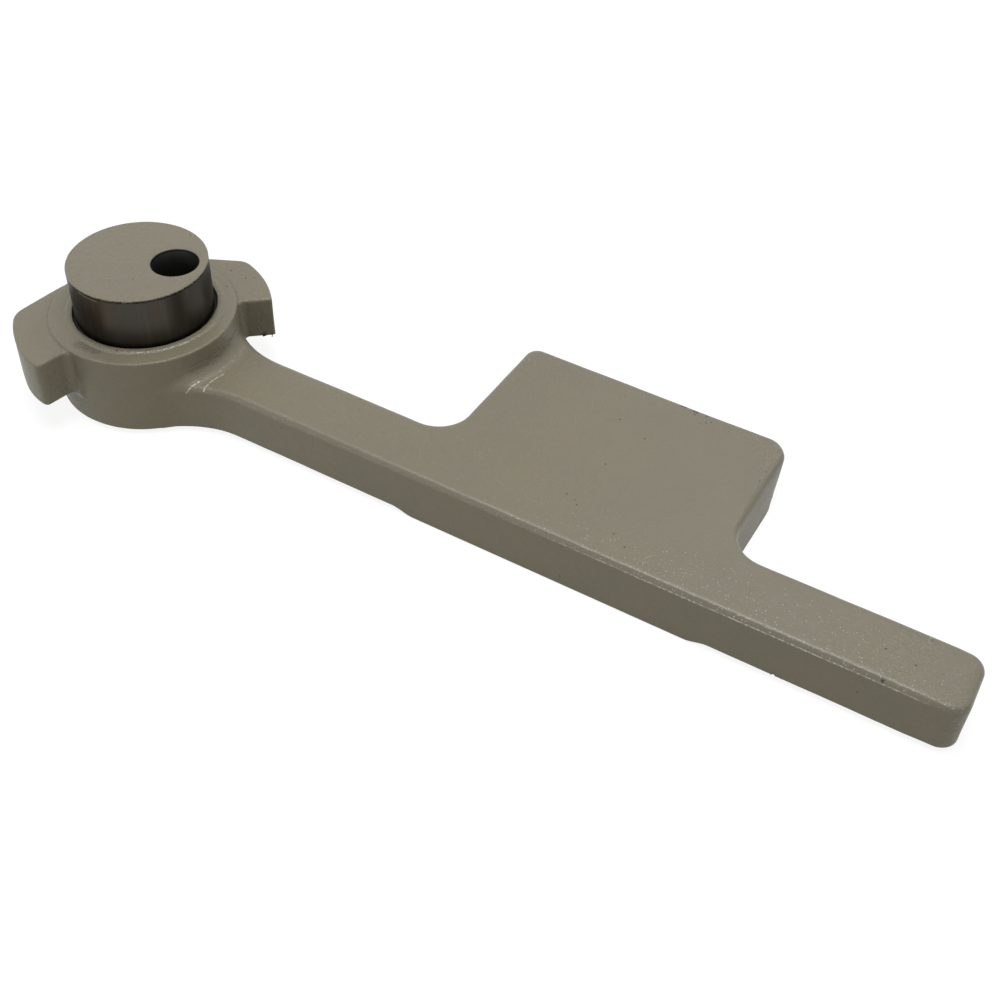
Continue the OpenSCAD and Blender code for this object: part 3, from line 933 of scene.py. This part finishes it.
# %% White room
room = Finish(bpy.data.worlds.new("Room"))
bpy.context.scene.world = room.owner
fill = room.node("ShaderNodeBackground", None, Color=(1, .99, .97, 1), Strength=.28)
backdrop = room.node("ShaderNodeBackground", None, Color=(1, 1, 1, 1), Strength=1.0)
mix = room.node("ShaderNodeMixShader", None, n0=seen_rays(room), n1=fill.outputs[0],
                n2=backdrop.outputs[0])
room.end_with(mix.outputs[0], "ShaderNodeOutputWorld")
print("room:", room.owner.name)

# %% [markdown]
# The lamps are panels, as in a light tent. A large one overhead does most of the work.
# A small one at the back puts the sparkle on the paint, and two long, thin ones, above
# and low in front, draw the light lines along the ridges of the arm. A picture of a
# studio could light the scene as well, but panels can be moved one at a time.

# %% Lamps
def panel(name, place, target, width, height, watts):
    lamp = bpy.data.lights.new(name, "AREA")
    lamp.shape, lamp.size, lamp.size_y, lamp.energy = "RECTANGLE", width, height, watts
    thing = bpy.data.objects.new(name, lamp)
    thing.location = place
    thing.rotation_euler = (Vector(target) - Vector(place)).to_track_quat("-Z", "Y").to_euler()
    bpy.context.scene.collection.objects.link(thing)
    print(name, watts, "W")

panel("Overhead panel", (.15, -.05, 1.6), (.15, 0, 0), .8, .8, 14.0)
panel("Back panel", (.215, .55, .8), (.18, 0, 0), .05, .2, 1.0)
panel("Ridge panel", (-.35, -.05, 1.25), (.15, 0, 0), .6, .06, .8)
panel("Front panel", (-.32, -.95, .46), (.15, 0, 0), .9, .04, 1.2)

# %% [markdown]
# ## Camera
# The camera's place was fitted to the edges of the handle in the photo. Its rows are
# the camera's right, down and forward directions, in the part's own frame.

# %% Camera
RIGHT = Vector((0.8625223, 0.5050098, 0.0319423))
DOWN = Vector((0.3719190, -0.5898776, -0.7167431))
AHEAD = Vector((-0.3431203, 0.6300869, -0.6966053))
camera_data = bpy.data.cameras.new("Camera")
FOCAL, SENSOR = 1339.54, 36     # the fitted focal length in pixels, the sensor in mm
camera_data.sensor_width = SENSOR
camera_data.lens = FOCAL * SENSOR / 1000
camera = bpy.data.objects.new("Camera", camera_data)
turn = Matrix((RIGHT, -DOWN, -AHEAD)).transposed().to_4x4()
camera.matrix_world = Matrix.Translation((.3490137, -.3453723, .3844254)) @ turn
bpy.context.scene.collection.objects.link(camera)
bpy.context.scene.camera = camera
bpy.context.scene.view_settings.view_transform = "Standard"
print("lens, mm:", round(camera_data.lens, 2))
